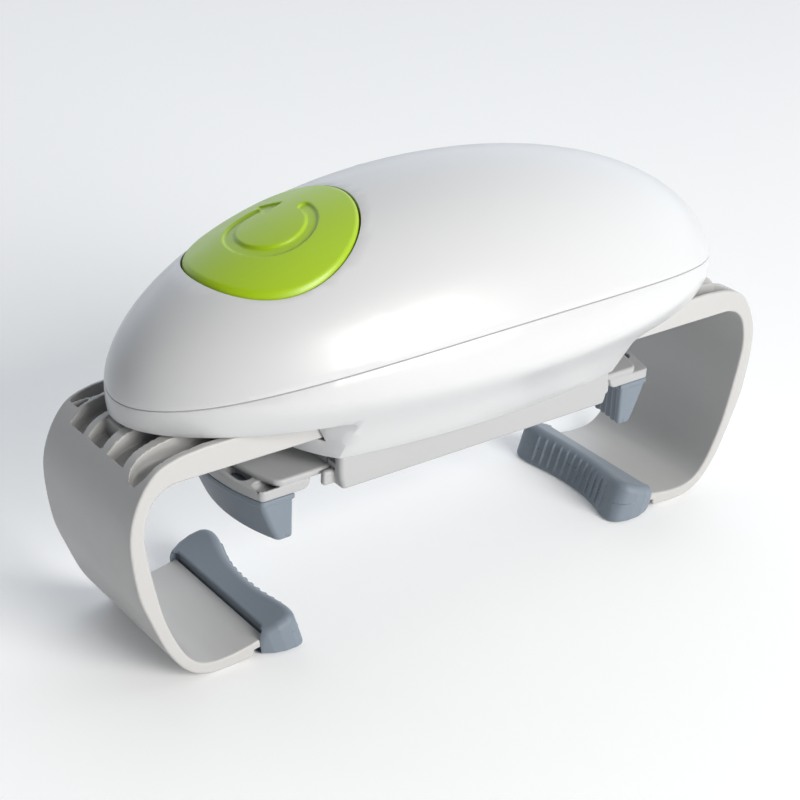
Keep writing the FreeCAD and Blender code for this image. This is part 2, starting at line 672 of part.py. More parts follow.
def pocket_cutter(y_low, y_high, start, reach):
    """Lengthwise pocket over the bend: it stays above a floor that follows the plate."""
    beyond, roof = 92, 66
    floor = size("pocket_floor")
    points = [Vector(start, 0, floor), Vector(83, 0, floor), Vector(87.5, 0, floor - 1.4),
              Vector(beyond, 0, floor - 4.1), Vector(beyond, 0, roof), Vector(start, 0, roof)]
    face = Part.Face(Part.makePolygon(points + points[:1]))
    shape = face.extrude(Vector(0, y_high - y_low, 0))
    shape.translate(Vector(0, y_low, 0))
    return shape.common(brick(start, reach, y_low, y_high, 0, roof))


open_run = size("arm_web_start") + 2
beyond_slot = size("arm_slot_end") + 1.5
slanted_rib = brick(83, 90, -17.8, -17.1, plate_low, 60)
slanted_rib.rotate(Vector(87.8, -17.4, 0), Vector(0, 0, 1), -30)
for y_low, y_high, start, reach in (
        (12.6, 18.4, open_run, 91.2), (3.4, 10.0, open_run, 90.5), (-5.8, 0.6, beyond_slot, 90.3),
        (-13.9, -7.9, beyond_slot, 90.5), (-19.4, -15.1, open_run, 87.8)):
    arm = arm.cut(pocket_cutter(y_low, y_high, start, reach).cut(slanted_rib))
arm = arm.fuse(brick(84.6, 85.6, -5.9, 0.7, plate_low + 1.5, 57.9))
tongue = size("tongue_width") / 2
arm = arm.fuse(brick(size("tongue_end"), size("arm_end") + 1, -tongue, tongue, 1.4, 4.2))
arm = arm.removeSplitter()
left_arm = feature("left_arm", half_turn(arm))
right_arm = feature("right_arm", arm)


def pad_lobe(reach, side):
    """Points of the gripping face round one end of a jar pad, from the end inward."""
    end, middle = size("pad_half"), size("pad_middle")
    return [Vector(x, side * y, 0) for x, y in (
        (reach + 3.0, end), (reach + 0.7, end - 0.8), (reach, end - 2.6), (reach + 0.3, end - 6),
        ((reach + middle) / 2, end - 11), (middle - 0.6, end - 17))]


def pad_block():
    """The pad before it is hollowed: the gripping face leans outward, the back stands upright."""
    back, end, height = size("pad_back"), size("pad_half"), size("pad_height")
    far_lobe, near_lobe = pad_lobe(size("pad_short_lobe"), 1), pad_lobe(size("pad_long_lobe"), -1)
    face_line = spline(near_lobe + [Vector(size("pad_middle"), 1, 0)] + far_lobe[::-1])
    beyond = back + size("pad_height")
    corners = [far_lobe[0], Vector(beyond, end, 0), Vector(beyond, -end, 0), near_lobe[0]]
    rest = [Part.makeLine(a, b) for a, b in zip(corners, corners[1:])]
    lean = height * math.tan(math.radians(size("pad_lean")))
    leaning = Part.Face(Part.Wire([face_line] + rest))
    leaning.translate(Vector(-lean / 2, 0, 0))
    upright = [Vector(0, -end, 0), Vector(back - 6, -end, 0), Vector(back, 3 - end, 0),
               Vector(back, end - 3, 0), Vector(back - 6, end, 0), Vector(0, end, 0)]
    upright = Part.Face(Part.makePolygon(upright + upright[:1]))
    return leaning.extrude(Vector(lean, 0, height)).common(upright.extrude(Vector(0, 0, height)))


def jar_pad():
    """Rubber pad: two lobes and a hollowed middle, grooved at the back for the arm's end."""
    middle, back = size("pad_middle"), size("pad_back")
    end, height = size("pad_half"), size("pad_height")
    shape = pad_block()
    bow = end * end / 2 / (height - size("pad_saddle"))
    scoop = Part.makeCylinder(bow, 60, Vector(-30, 0, bow), Vector(1, 0, 0))
    scoop.rotate(Vector(0, 0, 0), Vector(0, 1, 0), size("pad_slope"))
    scoop.translate(Vector(middle, 0, size("pad_saddle")))
    shape = shape.cut(scoop)
    shape = shape.cut(brick(size("pad_lip_back"), back + 1, -end - 1, end + 1,
                            size("pad_groove_top"), height + 1))
    groove = size("arm_width") / 2 + 0.3
    shape = shape.cut(brick(size("pad_groove_floor"), back + 1, -groove, groove,
                            0.7, size("pad_groove_top")))
    socket = size("tongue_width") / 2
    shape = shape.cut(brick(size("tongue_end"), back, -socket, socket, 1.4, 4.2))
    return shape


pad = jar_pad()
left_arm_pad = feature("left_arm_pad", half_turn(pad))
right_arm_pad = feature("right_arm_pad", pad)

# ---------------------------------------------------------------- gearing on the centre line

rack_module, small = size("rack_module"), size("small_module")
pinion_teeth = int(size("pinion_teeth"))
bore = size("spindle_radius") + size("running_gap")

pinion = gear(rack_module, pinion_teeth, size("arm_rack_bottom") + 0.2, size("arm_rack_top") - 0.2)
pinion = pinion.fuse(rod(size("hub_outer"), size("arm_rack_top") - 0.2, size("cup_bottom")))
pinion = pinion.fuse(rod(size("neck_radius"), size("cup_bottom"), size("cup_bottom") + size("cup_web")))
arm_pinion = feature("arm_pinion", pinion.cut(rod(bore, 50, 70)))

jaw_gear = gear(rack_module, pinion_teeth, size("jaw_rack_bottom") + 0.1, size("jaw_rack_top") - 0.1)
jaw_gear = jaw_gear.fuse(rod(size("jaw_hub"), size("jaw_rack_top") - 0.1, size("jaw_hub_top")))
jaw_gear = jaw_gear.fuse(rod(size("neck_radius"), size("jaw_hub_top"), size("clip_top")))
jaw_pinion = feature("jaw_pinion", jaw_gear.cut(rod(bore, size("spindle_tip") - 0.2, 60)))
pinion_clip = cut("pinion_clip", cylinder("clip_disc", 6.4, "jaw_hub_top", "clip_top"),
                  cylinder("clip_hole", "neck_radius", "jaw_hub_top - 1", "clip_top + 1"))

sun_teeth, planet_teeth = int(size("sun_teeth")), int(size("planet_teeth"))
ring_teeth = int(size("ring_teeth"))
planet_orbit = small * (sun_teeth + planet_teeth) / 2
planet_headings = [math.radians(angle) for angle in (90, 210, 330)]
planet_turns = [meshed(sun_teeth, planet_teeth, 0.0, heading) for heading in planet_headings]
ring_turn = planet_headings[0] + planet_teeth / ring_teeth * (planet_turns[0] - planet_headings[0])

cup = rod(size("cup_radius"), size("cup_bottom"), size("cup_top"))
cup = cup.cut(gear_hole(small, ring_teeth, size("cup_bottom") + size("cup_web"), size("cup_top") + 1,
                        ring_turn))
ring_gear = feature("ring_gear", cup.cut(rod(size("neck_radius"), 60, 70)))

carrier = Solid("planet_carrier")
outline = carrier.sketch("carrier_bottom")
ring_line(outline, 13.2)
ring_line(outline, "spindle_radius")
carrier.pad(outline, "carrier_top - carrier_bottom")
outline = carrier.sketch("carrier_top")
ring_line(outline, "planet_pin", "0", planet_orbit)
hole = carrier.pocket(outline, "carrier_top - carrier_bottom")
carrier.polar(hole, 3)
planet_carrier = carrier.body

planet_pins = group("planet_pins", [
    cylinder(f"planet_pin_{n}", "planet_pin", "carrier_bottom", "planet_top + 0.2",
             planet_orbit * math.cos(heading), planet_orbit * math.sin(heading))
    for n, heading in enumerate(planet_headings)])
spindle = cylinder("spindle", "spindle_radius", "spindle_tip", "carrier_top")

planet_gears = []
for n, (heading, turn) in enumerate(zip(planet_headings, planet_turns), start=1):
    x, y = planet_orbit * math.cos(heading), planet_orbit * math.sin(heading)
    wheel = gear(small, planet_teeth, size("planet_bottom"), size("planet_top"), x, y, turn)
    wheel = wheel.cut(rod(size("planet_pin") + size("running_gap"), 60, 75, x, y))
    planet_gears.append(feature(f"planet_gear_{n}", wheel))

sun = gear(small, sun_teeth, size("planet_bottom"), size("sun_top"))
sun_gear = feature("sun_gear", sun.fuse(rod(size("sun_shaft"), size("sun_top"), size("sun_shaft_top"))))

# ---------------------------------------------------------------- spur train

drive_teeth, step_teeth = int(size("drive_teeth")), int(size("step_teeth"))
wheel_two_teeth, wheel_one_teeth = int(size("wheel_two_teeth")), int(size("wheel_one_teeth"))
motor_teeth = int(size("motor_teeth"))
idler_one = Vector(size("idler_one_x"), size("idler_one_y"), 0)
motor_axis = Vector(size("motor_x"), size("motor_y"), 0)
reach_two = small * (drive_teeth + step_teeth) / 2
reach_one = small * (wheel_two_teeth + step_teeth) / 2
# the second idler stands where both of its centre distances are right, on the front side
far = idler_one.Length
along = (reach_two ** 2 - reach_one ** 2 + far ** 2) / (2 * far)
aside = math.sqrt(reach_two ** 2 - along ** 2)
toward = Vector(idler_one).normalize()
idler_two = toward * along + Vector(toward.y, -toward.x, 0) * aside


def heading_from(a, b):
    return math.atan2(b.y - a.y, b.x - a.x)


centre = Vector(0, 0, 0)
drive_turn = 0.0
turn_two = meshed(drive_teeth, step_teeth, drive_turn, heading_from(centre, idler_two))
turn_wheel_two = 0.0
turn_one = meshed(wheel_two_teeth, step_teeth, turn_wheel_two, heading_from(idler_two, idler_one))
turn_wheel_one = 0.0
turn_motor = meshed(wheel_one_teeth, motor_teeth, turn_wheel_one, heading_from(idler_one, motor_axis))

drive = gear(small, drive_teeth, size("drive_bottom"), size("drive_top"), turn=drive_turn)
drive = drive.fuse(rod(size("hub_radius"), size("drive_top"), size("plate_top") + 0.8))
drive_gear = feature("drive_gear", drive.cut(rod(size("sun_shaft") + size("running_gap"), 70,
                                                 size("sun_shaft_top") + 0.2)))

loose = size("pin_radius") + size("running_gap")
two = gear(small, step_teeth, size("drive_bottom"), size("drive_top"), idler_two.x, idler_two.y, turn_two)
two = two.fuse(rod(3.6, size("drive_top"), size("middle_bottom"), idler_two.x, idler_two.y))
two = two.fuse(gear(small, wheel_two_teeth, size("middle_bottom"), size("middle_top"),
                    idler_two.x, idler_two.y, turn_wheel_two))
idler_gear_2 = feature("idler_gear_2", two.cut(rod(loose, 60, 95, idler_two.x, idler_two.y)))

one = gear(small, step_teeth, size("middle_bottom"), size("middle_top"), idler_one.x, idler_one.y, turn_one)
one = one.fuse(rod(size("tube_radius"), size("middle_top"), size("upper_bottom"),
                   idler_one.x, idler_one.y))
one = one.fuse(gear(small, wheel_one_teeth, size("upper_bottom"), size("upper_top"),
                    idler_one.x, idler_one.y, turn_wheel_one))
idler_gear_1 = feature("idler_gear_1", one.cut(rod(loose, 60, 95, idler_one.x, idler_one.y)))

idler_pins = group("idler_pins", [
    fuse("idler_pin_2", cylinder("pin_2_rod", "pin_radius", "chassis_bottom", "plate_top",
                                 idler_two.x, idler_two.y),
         cylinder("pin_2_collar", "pin_collar", "cup_top + 0.15", "drive_bottom - 0.1",
                  idler_two.x, idler_two.y)),
    fuse("idler_pin_1", cylinder("pin_1_rod", "pin_radius", "chassis_bottom", "upper_top + 0.6",
                                 idler_one.x, idler_one.y),
         cylinder("pin_1_collar", "pin_collar", "chassis_top", "middle_bottom - 0.1",
                  idler_one.x, idler_one.y))])

# motor: flattened can, its shaft up, with the first pinion
can = cylinder("can_round", "can_radius", "can_bottom", "can_top", "motor_x", "motor_y")
can_flats = block("can_flats", "can_flat", 40, "can_bottom", "can_top", "motor_x", "motor_y")
can_body = doc.addObject("Part::Common", "can_body")
can_body.Base = can
can_body.Tool = can_flats
motor_can = cut("motor_can",
                fuse("can_and_boss", can_body,
                     cylinder("can_boss", "motor_boss", "can_top", "can_top + 0.8", "motor_x", "motor_y")),
                cylinder("can_bore", "motor_shaft + running_gap", "can_bottom + 3", "can_top + 2",
                         "motor_x", "motor_y"))
motor_shaft = cylinder("motor_shaft", "motor_shaft", "can_bottom + 3.2", "upper_top + 0.5",
                       "motor_x", "motor_y")
first = gear(small, motor_teeth, size("upper_bottom"), size("upper_top"), motor_axis.x, motor_axis.y,
             turn_motor)
motor_pinion = feature("motor_pinion", first.cut(rod(size("motor_shaft"), 80, 95,
                                                     motor_axis.x, motor_axis.y)))

# ---------------------------------------------------------------- gearbox plates

column_spots = ((-18, -11), (-18, 10.5), (36.2, -17.5), (30, 10.5))
lower_plate = Solid("chassis_plate")
for length, width in (("chassis_length", "chassis_width"), ("chassis_reach", "chassis_strip")):
    outline = lower_plate.sketch("chassis_bottom")
    frame_line(outline, length, width)
    ring_line(outline, "bush_radius")
    lower_plate.pad(outline, "chassis_top - chassis_bottom")
outline = lower_plate.sketch("chassis_top")
for x, y in stud_spots:
    ring_line(outline, 1.3, x, y)
for spot in (idler_one, idler_two):
    ring_line(outline, "pin_radius", spot.x, spot.y)
lower_plate.pocket(outline, "chassis_top - chassis_bottom")
chassis_plate = lower_plate.body

upper_plate = Solid("gearbox_plate")
outline = upper_plate.sketch("plate_bottom")
frame_line(outline, 79, 34, 17.5, -3)
upper_plate.pad(outline, "plate_top - plate_bottom")
outline = upper_plate.sketch("plate_top")
ring_line(outline, "hub_radius + running_gap")
ring_line(outline, "tube_radius + running_gap", "idler_one_x", "idler_one_y")
ring_line(outline, "pin_radius", idler_two.x, idler_two.y)
ring_line(outline, "can_radius + 0.1", "motor_x", "motor_y")
upper_plate.pocket(outline, "plate_top - plate_bottom")
gearbox_plate = upper_plate.body

gearbox_columns = group("gearbox_columns", [
    cylinder(f"column_{n}", "column_radius", "chassis_top", "plate_bottom", x, y)
    for n, (x, y) in enumerate(column_spots)])
chassis_screws = group("chassis_screws", [
    fuse(f"chassis_screw_{n}", cylinder(f"chassis_shank_{n}", 1.1, "chassis_bottom - 6", "chassis_top", x, y),
         cylinder(f"chassis_head_{n}", 2.2, "chassis_top", "chassis_top + 1.4", x, y))
    for n, (x, y) in enumerate(stud_spots)])
arm_bush = cut("arm_bush", cylinder("bush_body", "bush_radius", "chassis_bottom", "chassis_top"),
               cylinder("bush_hole", "hub_outer + running_gap", 50, 70))

# ---------------------------------------------------------------- button, switch and board

cap = rod(size("button_radius"), 60, 110, size("button_x"))
cap = cap.common(egg(size("button_proud"))).cut(egg(-size("button_rim")))
hollow = rod(size("button_radius") - 2, 60, 110, size("button_x"))
cap = cap.cut(hollow.common(egg(-size("button_skin"))))
core = egg(-size("button_skin") / 2)
cap = cap.fuse(rod(6.6, size("button_seat"), 105, size("button_x")).common(core))
cap = cap.fuse(rod(size("stem_radius"), size("stem_tip"), size("button_seat"), size("button_x")))
button = feature("button", cap)

turns, rise = 4, size("button_seat") - size("holder_top") - 2 * size("spring_wire")
coil = Part.makeHelix(rise / turns, rise, size("spring_radius"))
section = Part.Wire(Part.Circle(Vector(size("spring_radius"), 0, 0), Vector(0, 1, 0),
                                size("spring_wire")).toShape())
spring = Part.Wire(coil).makePipeShell([section], True, True)
button_spring = feature("button_spring", spring,
                        Placement(Vector(size("button_x"), 0, size("holder_top") + size("spring_wire")),
                                  Rotation()))

board = Solid("circuit_board")
outline = board.sketch("board_level")
frame_line(outline, "board_length", "board_width", "button_x")
board.pad(outline, "board_thick")
outline = board.sketch("board_level + board_thick")
for front in (-1, 1):
    ring_line(outline, 1.0, "button_x", 7.4 * front)
board.pocket(outline, "board_thick")
circuit_board = board.body

board_top = "board_level + board_thick"
push_switch = fuse("push_switch",
                   block("switch_box", "switch_side", "switch_side", board_top, "switch_top", "button_x"),
                   cylinder("switch_plunger", 1.6, "switch_top", "plunger_top", "button_x"))
spring_holder = cut("spring_holder",
                    cylinder("holder_tube", "holder_radius", board_top, "holder_top", "button_x"),
                    cylinder("holder_hole", "holder_bore", board_top, "holder_top + 1", "button_x"))
board_posts = group("board_posts", [
    fuse(f"board_post_{n}", cylinder(f"post_leg_{n}", "post_radius", "chassis_top", "board_level",
                                     "button_x", 7.4 * front),
         cylinder(f"post_peg_{n}", 1.0, "board_level", "board_level + board_thick",
                  "button_x", 7.4 * front))
    for n, front in enumerate((-1, 1))])

# ---------------------------------------------------------------- power pack

cell_spots = ((size("cell_a_y"), size("cell_a_level"), 1), (size("cell_b_y"), size("cell_b_level"), -1))


def lying_rod(radius, x_low, x_high, y, z):
    return Part.makeCylinder(radius, x_high - x_low, Vector(x_low, y, z), Vector(1, 0, 0))


cells = []
half_cell = size("cell_length") / 2
for y, z, pole in cell_spots:
    middle = size("cell_centre")
    can_low, can_high = middle - half_cell, middle + half_cell
    nub_low, nub_high = (can_high, can_high + size("cell_nub")) if pole > 0 else \
        (can_low - size("cell_nub"), can_low)
    solid = lying_rod(size("cell_radius"), can_low, can_high, y, z)
    cells.append(solid.fuse(lying_rod(size("nub_radius"), nub_low, nub_high, y, z)).removeSplitter())
battery_cells = feature("battery_cells", Part.makeCompound(cells))

reach = half_cell + size("cell_nub") + size("contact_thick") + 0.1
outside = size("cell_radius") + 0.15 + size("tray_skin")
trough = None
for y, z, pole in cell_spots:
    tube = lying_rod(outside, size("cell_centre") - reach - size("tray_end"),
                     size("cell_centre") + reach + size("tray_end"), y, z)
    trough = tube if trough is None else trough.fuse(tube)
for y, z, pole in cell_spots:
    trough = trough.cut(lying_rod(size("cell_radius") + 0.15, size("cell_centre") - reach,
                                  size("cell_centre") + reach, y, z))
mouth = Part.makeBox(200, 60, 60, Vector(-100, -30, 0))
mouth.rotate(Vector(0, 0, 0), Vector(1, 0, 0), -size("door_tilt"))
mouth.translate(Vector(0, (size("cell_a_y") + size("cell_b_y")) / 2,
                       (size("cell_a_level") + size("cell_b_level")) / 2))
trough = trough.cut(mouth.common(lying_rod(60, size("cell_centre") - reach, size("cell_centre") + reach,
                                           17, 84.5)))
trough = trough.common(egg(-size("wall") - 0.05)).removeSplitter()
battery_tray = feature("battery_tray", trough)

contacts = []
for y, z, pole in cell_spots:
    for side in (-1, 1):
        x_low = size("cell_centre") + side * (reach - size("contact_thick"))
        low_x, high_x = sorted((x_low, size("cell_centre") + side * reach))
        contacts.append(lying_rod(5.2, low_x, high_x, y, z))
battery_contacts = feature("battery_contacts", Part.makeCompound(contacts))

springs = []
for y, z, pole in cell_spots:
    end = size("cell_centre") - pole * (reach - size("contact_thick"))
    start = size("cell_centre") - pole * half_cell
    low_x, high_x = sorted((start, end))
    tube = lying_rod(3.4, low_x, high_x, y, z).cut(lying_rod(2.6, low_x, high_x, y, z))
    springs.append(tube)
battery_springs = feature("battery_springs", Part.makeCompound(springs))

# ---------------------------------------------------------------- checking and writing

PARTS = [
    top_cover, lower_shell, bottom_cover, battery_door, battery_tray, battery_cells,
    battery_contacts, battery_springs, housing_screws, chassis_plate, chassis_screws,
    gearbox_plate, gearbox_columns, idler_pins, arm_bush, circuit_board, push_switch,
    spring_holder, board_posts, motor_can, button, button_spring, motor_shaft, motor_pinion,
    idler_gear_1, idler_gear_2, drive_gear, sun_gear, *planet_gears, planet_carrier, planet_pins,
    spindle, ring_gear, arm_pinion, left_arm, right_arm, left_arm_pad, right_arm_pad, lid_carrier,
    turntable_keeper, keeper_screws, jaw_pinion, pinion_clip, left_jaw, right_jaw, left_jaw_pad,
    right_jaw_pad,
]

doc.recompute()
for thing in doc.Objects:
    if "Invalid" in thing.State or "Error" in thing.State:
        raise RuntimeError(f"{thing.Label}: {thing.State}")
os.makedirs("parts", exist_ok=True)
for thing in PARTS:
    if thing.Shape.isNull() or not thing.Shape.isValid():
        raise RuntimeError(f"{thing.Label}: bad shape")
    thing.Shape.exportStep(f"parts/{thing.Label}.step")
    print(f"{thing.Label}: {len(thing.Shape.Solids)} solid(s), {thing.Shape.Volume:.1f} mm3")
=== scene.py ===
import json
import math

import bpy
import numpy as np
from mathutils import Matrix, Vector


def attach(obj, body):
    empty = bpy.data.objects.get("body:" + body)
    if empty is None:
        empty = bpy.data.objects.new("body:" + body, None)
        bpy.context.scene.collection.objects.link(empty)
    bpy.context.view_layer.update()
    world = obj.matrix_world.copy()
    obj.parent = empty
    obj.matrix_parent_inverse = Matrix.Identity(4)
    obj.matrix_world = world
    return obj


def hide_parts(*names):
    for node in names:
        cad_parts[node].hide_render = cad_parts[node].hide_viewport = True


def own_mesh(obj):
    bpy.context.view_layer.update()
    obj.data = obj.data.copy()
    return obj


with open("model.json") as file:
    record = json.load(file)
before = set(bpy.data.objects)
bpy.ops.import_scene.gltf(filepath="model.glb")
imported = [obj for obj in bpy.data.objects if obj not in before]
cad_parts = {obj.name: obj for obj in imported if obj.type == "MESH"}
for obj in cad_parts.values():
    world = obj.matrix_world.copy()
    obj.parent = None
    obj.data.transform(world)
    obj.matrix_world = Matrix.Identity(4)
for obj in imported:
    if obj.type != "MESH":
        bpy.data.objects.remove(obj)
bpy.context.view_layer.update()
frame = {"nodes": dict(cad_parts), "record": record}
nodes = frame["nodes"]

MM = 0.001

# Sizes and places of the part are in millimetres, in the frame of the solids. Those of the floor and
# the light are in metres. The pieces of the right side are described, and the left side has the same
# pieces turned half round the upright centre line.

# ---------------------------------------------------------------- shapes as distance fields
# A field gives each point's distance from a surface, negative inside the piece.


def round_both(a, b, radius):
    """Inside both a and b, with the edge where they meet rounded."""
    corner = np.hypot(np.maximum(a + radius, 0), np.maximum(b + radius, 0))
    return np.minimum(np.maximum(a, b), -radius) + corner


def round_either(a, b, radius):
    """Inside a or b, with a fillet where they meet."""
    return -round_both(-a, -b, radius)


def take_away(a, b, radius):
    """Inside a and not in b, with the rim of the cut rounded."""
    return round_both(a, -b, radius)


def slab(value, low, high):
    """Between two levels of one coordinate."""
    return np.abs(value - (low + high) / 2) - (high - low) / 2


def bar(x, y, z, x_span, y_span, z_span, radius):
    """Box between spans of each coordinate, with rounded edges."""
    sides = round_both(slab(x, *x_span), slab(y, *y_span), radius)
    return round_both(sides, slab(z, *z_span), radius)


def ramp(value, length):
    """Rises from 0 to 1 while the value goes from 0 to a length."""
    return np.clip(value / length, 0, 1)


def curve(points, steps=10):
    """Smooth line through a few points."""
    points = np.array(points, float)
    ends = np.vstack([2 * points[0] - points[1], points, 2 * points[-1] - points[-2]])
    line = []
    for a, b, c, d in zip(ends, ends[1:], ends[2:], ends[3:]):
        for t in np.arange(steps) / steps:
            line.append(0.5 * (2 * b + (c - a) * t + (2 * a - 5 * b + 4 * c - d) * t ** 2
                               + (3 * b - a - 3 * c + d) * t ** 3))
    return [*line, points[-1]]


class Outline:
    """Signed distance from a closed outline in a plane, looked up in a fine lattice."""

    def __init__(self, points, margin=5.0, pitch=0.25):
        points = np.array(points, float)
        self.pitch = pitch
        self.low = points.min(0) - margin
        counts = np.ceil((points.max(0) + margin - self.low) / pitch).astype(int) + 2
        u = (self.low[0] + pitch * np.arange(counts[0]))[:, None]
        v = (self.low[1] + pitch * np.arange(counts[1]))[None, :]
        nearest = np.full(counts, np.inf)
        inside = np.zeros(counts, bool)
        for (ax, ay), (bx, by) in zip(points, np.roll(points, -1, 0)):
            dx, dy = bx - ax, by - ay
            length = dx * dx + dy * dy
            if length < 1e-12:
                continue
            share = np.clip(((u - ax) * dx + (v - ay) * dy) / length, 0, 1)
            nearest = np.minimum(nearest, (u - ax - share * dx) ** 2 + (v - ay - share * dy) ** 2)
            if dy:
                inside ^= ((ay > v) != (by > v)) & (u < dx * (v - ay) / dy + ax)
        self.values = np.sqrt(nearest) * np.where(inside, -1, 1)

    def __call__(self, u, v):
        last = np.array(self.values.shape) - 1.001  # a little before the lattice's last points
        a = np.clip((u - self.low[0]) / self.pitch, 0, last[0])
        b = np.clip((v - self.low[1]) / self.pitch, 0, last[1])
        i, j = a.astype(int), b.astype(int)
        s, t = a - i, b - j
        grid = self.values
        near = grid[i, j] * (1 - s) + grid[i + 1, j] * s
        far = grid[i, j + 1] * (1 - s) + grid[i + 1, j + 1] * s
        return near * (1 - t) + far * t


def slope(field, points, reach=0.02):
    """Gradient of a field at points."""
    columns = []
    for axis in range(3):
        shift = np.zeros(3)
        shift[axis] = reach
        ahead, behind = (points + shift).T, (points - shift).T
        columns.append((field(*ahead) - field(*behind)) / (2 * reach))
    return np.stack(columns, 1)


# how points are moved onto a surface: the number of moves, the longest one in cells, and the least
# steepness that a field is taken to have
MOVES, LONGEST_MOVE, LEAST_STEEPNESS = 4, 0.4, 0.05
FREE_CELLS = 1.6  # cells left free before a piece


def surface(field, low, high, step):
    """Points, faces and normals of a field's surface inside the box from low to high.

    The box is cut into cells of one step, and each cell that the surface crosses gets one point.
    """
    low, high = np.array(low, float), np.array(high, float)
    low = low - FREE_CELLS * step
    counts = np.ceil((high - low) / step).astype(int) + 3
    axes = [low[n] + step * np.arange(counts[n]) for n in range(3)]
    values = field(*np.meshgrid(*axes, indexing="ij"))
    quads, crossings = [], []
    for axis in range(3):
        first = np.take(values, range(counts[axis] - 1), axis)
        second = np.take(values, range(1, counts[axis]), axis)
        edges = np.argwhere((first < 0) != (second < 0))
        a, b = first[tuple(edges.T)], second[tuple(edges.T)]
        place = edges.astype(float)
        place[:, axis] += a / (a - b)
        others = [(axis + 1) % 3, (axis + 2) % 3]
        cells = []
        for back in ((0, 0), (1, 0), (1, 1), (0, 1)):
            cell = edges.copy()
            cell[:, others] -= back
            cells.append(np.ravel_multi_index(tuple(cell.T), counts))
        cells = np.stack(cells, 1)
        inward = a >= 0
        cells[inward] = cells[inward][:, ::-1]
        quads.append(cells)
        crossings.append(np.repeat(place[:, None, :], 4, 1))
    quads, crossings = np.vstack(quads), np.vstack(crossings)
    _, index = np.unique(quads, return_inverse=True)
    index = index.reshape(quads.shape)
    tally = np.bincount(index.ravel())
    points = np.stack([np.bincount(index.ravel(), crossings[..., n].ravel()) / tally
                       for n in range(3)], 1)
    points = low + points * step
    for _ in range(MOVES):
        gradient = slope(field, points)
        steepness = np.maximum((gradient ** 2).sum(1), LEAST_STEEPNESS)
        move = (field(*points.T) / steepness)[:, None] * gradient
        size = np.linalg.norm(move, axis=1, keepdims=True)
        points = points - move * np.minimum(1, LONGEST_MOVE * step / np.maximum(size, 1e-9))
    normals = slope(field, points)
    return points, index, normals / np.linalg.norm(normals, axis=1, keepdims=True)


def new_object(name, data):
    """An object in the scene for a mesh, a light or a camera."""
    thing = bpy.data.objects.new(name, data)
    bpy.context.scene.collection.objects.link(thing)
    return thing


def add_piece(name, skin, body, slot, node):
    """A mesh in the scene that stands for a CAD node and rides on its body."""
    points, faces, normals = skin
    mesh = bpy.data.meshes.new(name)
    mesh.from_pydata((points * MM).tolist(), [], faces.tolist())
    mesh.validate()
    mesh.polygons.foreach_set("use_smooth", [True] * len(mesh.polygons))
    mesh.normals_split_custom_set_from_vertices(normals.tolist())
    mesh.materials.append(MATERIALS[slot])
    thing = new_object(name, mesh)
    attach(thing, body)
    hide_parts(node)
    return thing


def add_pair(kind, field, low, high, step, slot, bodies):
    """The right piece and the left one, which is the same piece turned half round."""
    points, faces, normals = surface(field, low, high, step)
    for side, sign in (("right", 1), ("left", -1)):
        turn = (sign, sign, 1)
        turned = (points * turn, faces, normals * turn)
        add_piece(f"{side}_{kind}_form", turned, f"{bodies}_{side}", slot, f"{side}_{kind}")


# ---------------------------------------------------------------- materials

NOISE_RANGE = (0.15, 0.85)
CLOUD_SCALE, CLOUD_DETAIL = 26, 3
GLOSS_SCALE, GLOSS_DETAIL, GLOSS_SPREAD = 160, 4, 0.12
GRAIN_DETAIL, GRAIN_DEPTH = 2, 0.2
COAT_ROUGHNESS = 0.08


def plastic(name, colour, roughness, grain, bump, shade=0.04, coat=0.0, metallic=0.0, sheen=0.0):
    """Moulded material: slightly uneven colour and gloss, and a fine surface grain."""
    material = bpy.data.materials.new(name)
    material.use_nodes = True
    tree = material.node_tree
    shader = tree.nodes["Principled BSDF"]
    shader.inputs["Metallic"].default_value = metallic
    shader.inputs["Coat Weight"].default_value = coat
    shader.inputs["Coat Roughness"].default_value = COAT_ROUGHNESS
    shader.inputs["Sheen Weight"].default_value = sheen
    place = tree.nodes.new("ShaderNodeTexCoord")

    def noise(scale, detail):
        texture = tree.nodes.new("ShaderNodeTexNoise")
        texture.inputs["Scale"].default_value = scale
        texture.inputs["Detail"].default_value = detail
        tree.links.new(place.outputs["Object"], texture.inputs["Vector"])
        return texture

    def spread(texture, low, high):
        band = tree.nodes.new("ShaderNodeMapRange")
        band.inputs["From Min"].default_value, band.inputs["From Max"].default_value = NOISE_RANGE
        band.inputs["To Min"].default_value = low
        band.inputs["To Max"].default_value = high
        tree.links.new(texture.outputs["Fac"], band.inputs["Value"])
        return band

    cloudy = noise(CLOUD_SCALE, CLOUD_DETAIL)
    mix = tree.nodes.new("ShaderNodeMix")
    mix.data_type = "RGBA"
    mix.inputs["A"].default_value = (*[c * (1 - shade) for c in colour], 1)
    mix.inputs["B"].default_value = (*[min(c * (1 + shade), 1) for c in colour], 1)
    tree.links.new(spread(cloudy, 0, 1).outputs["Result"], mix.inputs["Factor"])
    tree.links.new(mix.outputs["Result"], shader.inputs["Base Color"])
    uneven = noise(GLOSS_SCALE, GLOSS_DETAIL)
    band = spread(uneven, roughness * (1 - GLOSS_SPREAD), roughness * (1 + GLOSS_SPREAD))
    tree.links.new(band.outputs["Result"], shader.inputs["Roughness"])
    fine = noise(grain, GRAIN_DETAIL)
    relief = tree.nodes.new("ShaderNodeBump")
    relief.inputs["Strength"].default_value = bump
    relief.inputs["Distance"].default_value = GRAIN_DEPTH * MM
    tree.links.new(fine.outputs["Fac"], relief.inputs["Height"])
    tree.links.new(relief.outputs["Normal"], shader.inputs["Normal"])
    return material


